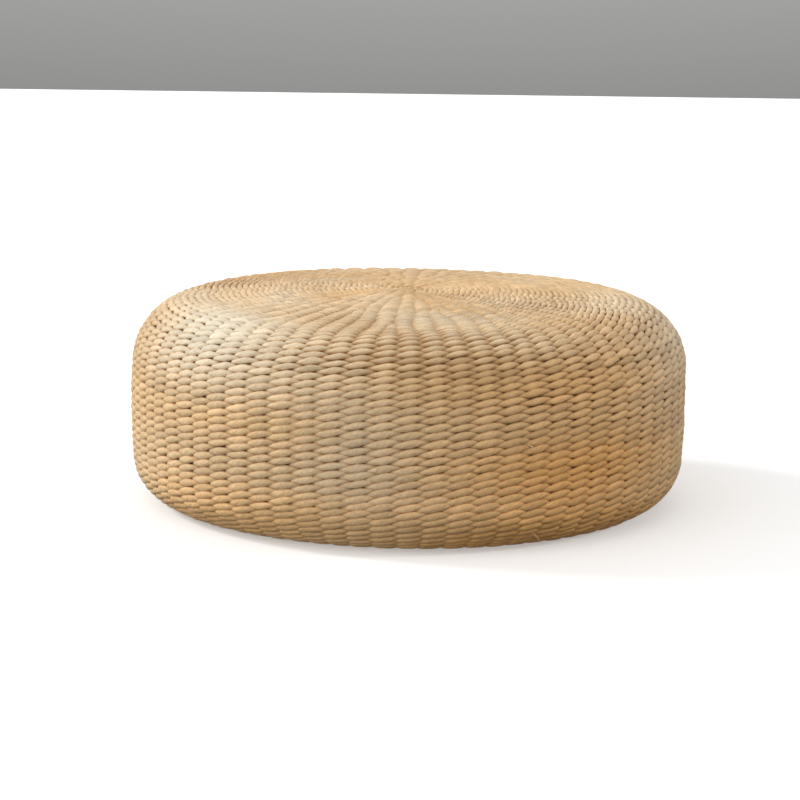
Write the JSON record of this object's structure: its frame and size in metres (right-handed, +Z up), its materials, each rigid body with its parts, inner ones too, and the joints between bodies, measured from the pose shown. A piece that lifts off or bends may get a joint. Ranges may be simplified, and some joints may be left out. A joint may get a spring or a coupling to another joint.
{
  "type": "woven straw floor cushion",
  "caption": "Low round floor cushion of twined straw, with a domed top, rounded shoulder and heel, and a foam core.",
  "frame": {"origin": "middle of the flat base, on the floor", "axes": "+Z up through the middle of the crown; -Y towards the front"},
  "size_m": [0.55, 0.55, 0.21],
  "materials": {
    "weft": "dry satin straw",
    "stake": "dry matte straw",
    "knot": "dry satin straw",
    "foam": "matte closed-cell foam"
  },
  "bodies": {
    "root": {"foam_base": "foam", "foam_lower": "foam", "foam_upper": "foam", "foam_crown": "foam", "stakes_first": "stake", "stakes_second": "stake", "stakes_third": "stake", "stakes_fourth": "stake", "stakes_fifth": "stake", "crown_knot": "knot", "weft_top_centre": "weft", "weft_top_inner": "weft", "weft_top_outer": "weft", "weft_shoulder": "weft", "weft_wall_upper": "weft", "weft_wall_lower": "weft", "weft_heel": "weft", "weft_base_outer": "weft", "weft_base_inner": "weft", "weft_base_centre": "weft", "base_knot": "knot", "straw_ends": "weft"}
  },
  "joints": []
}
